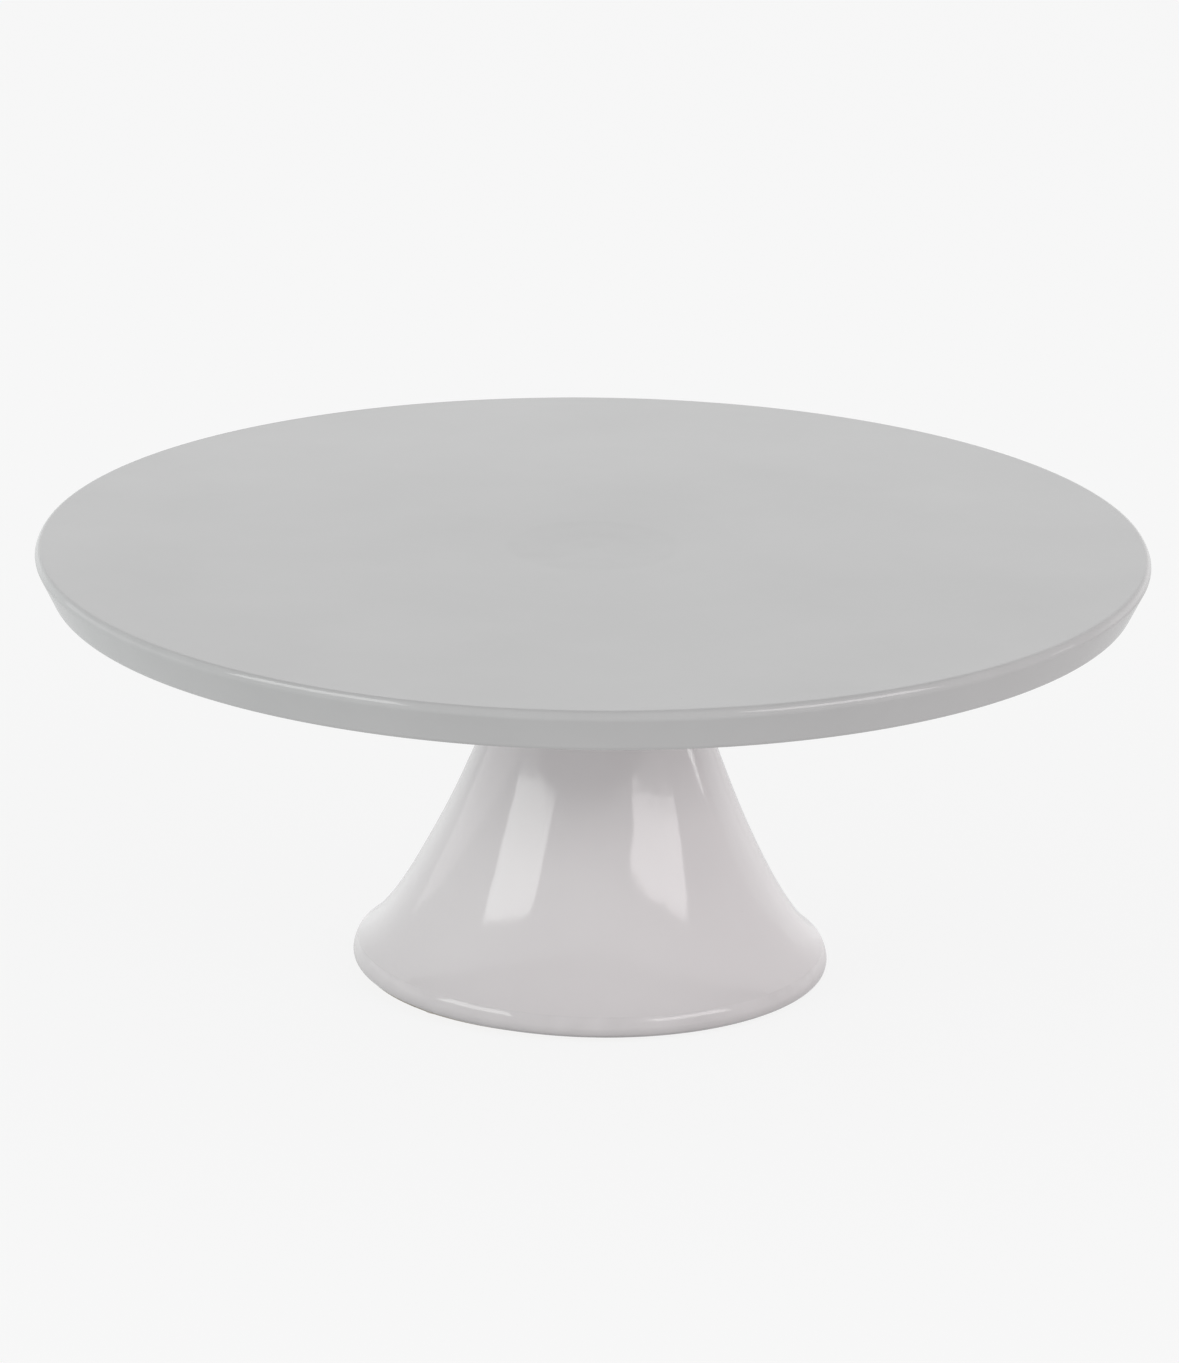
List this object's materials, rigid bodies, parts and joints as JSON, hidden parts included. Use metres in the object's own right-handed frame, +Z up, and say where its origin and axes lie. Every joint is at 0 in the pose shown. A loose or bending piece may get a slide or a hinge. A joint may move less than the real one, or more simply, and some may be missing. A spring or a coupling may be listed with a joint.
{
  "type": "cake stand",
  "caption": "Footed round cake stand: a flat pale grey glazed plate with a turned-down rim, bolted onto a hollow flared off-white pedestal.",
  "frame": {"origin": "centre of the surface that the stand rests on, on the axis of the plate and pedestal, level with the faces of the foot pads", "axes": "+Z up along the stand's axis, +X to the right and +Y away from the viewer; the stand is round, so X and Y only fix where the pads are"},
  "size_m": [0.3, 0.3, 0.119],
  "materials": {
    "glaze_grey": "glossy pale grey glaze over stoneware",
    "glaze_white": "glossy off-white glaze over stoneware",
    "silicone": "translucent white silicone, matt",
    "rubber": "black rubber, matt",
    "steel": "zinc-plated, satin",
    "resin": "cast epoxy, slightly yellow"
  },
  "bodies": {
    "root": {"plate": "glaze_grey", "pedestal": "glaze_white", "seat_gasket": "silicone", "stud_plate": "steel", "stud_potting": "resin", "rubber_washer": "rubber", "flat_washer": "steel", "spring_washer": "steel", "hex_nut": "steel", "foot_pad_1": "silicone", "foot_pad_2": "silicone", "foot_pad_3": "silicone", "foot_pad_4": "silicone"}
  },
  "joints": []
}
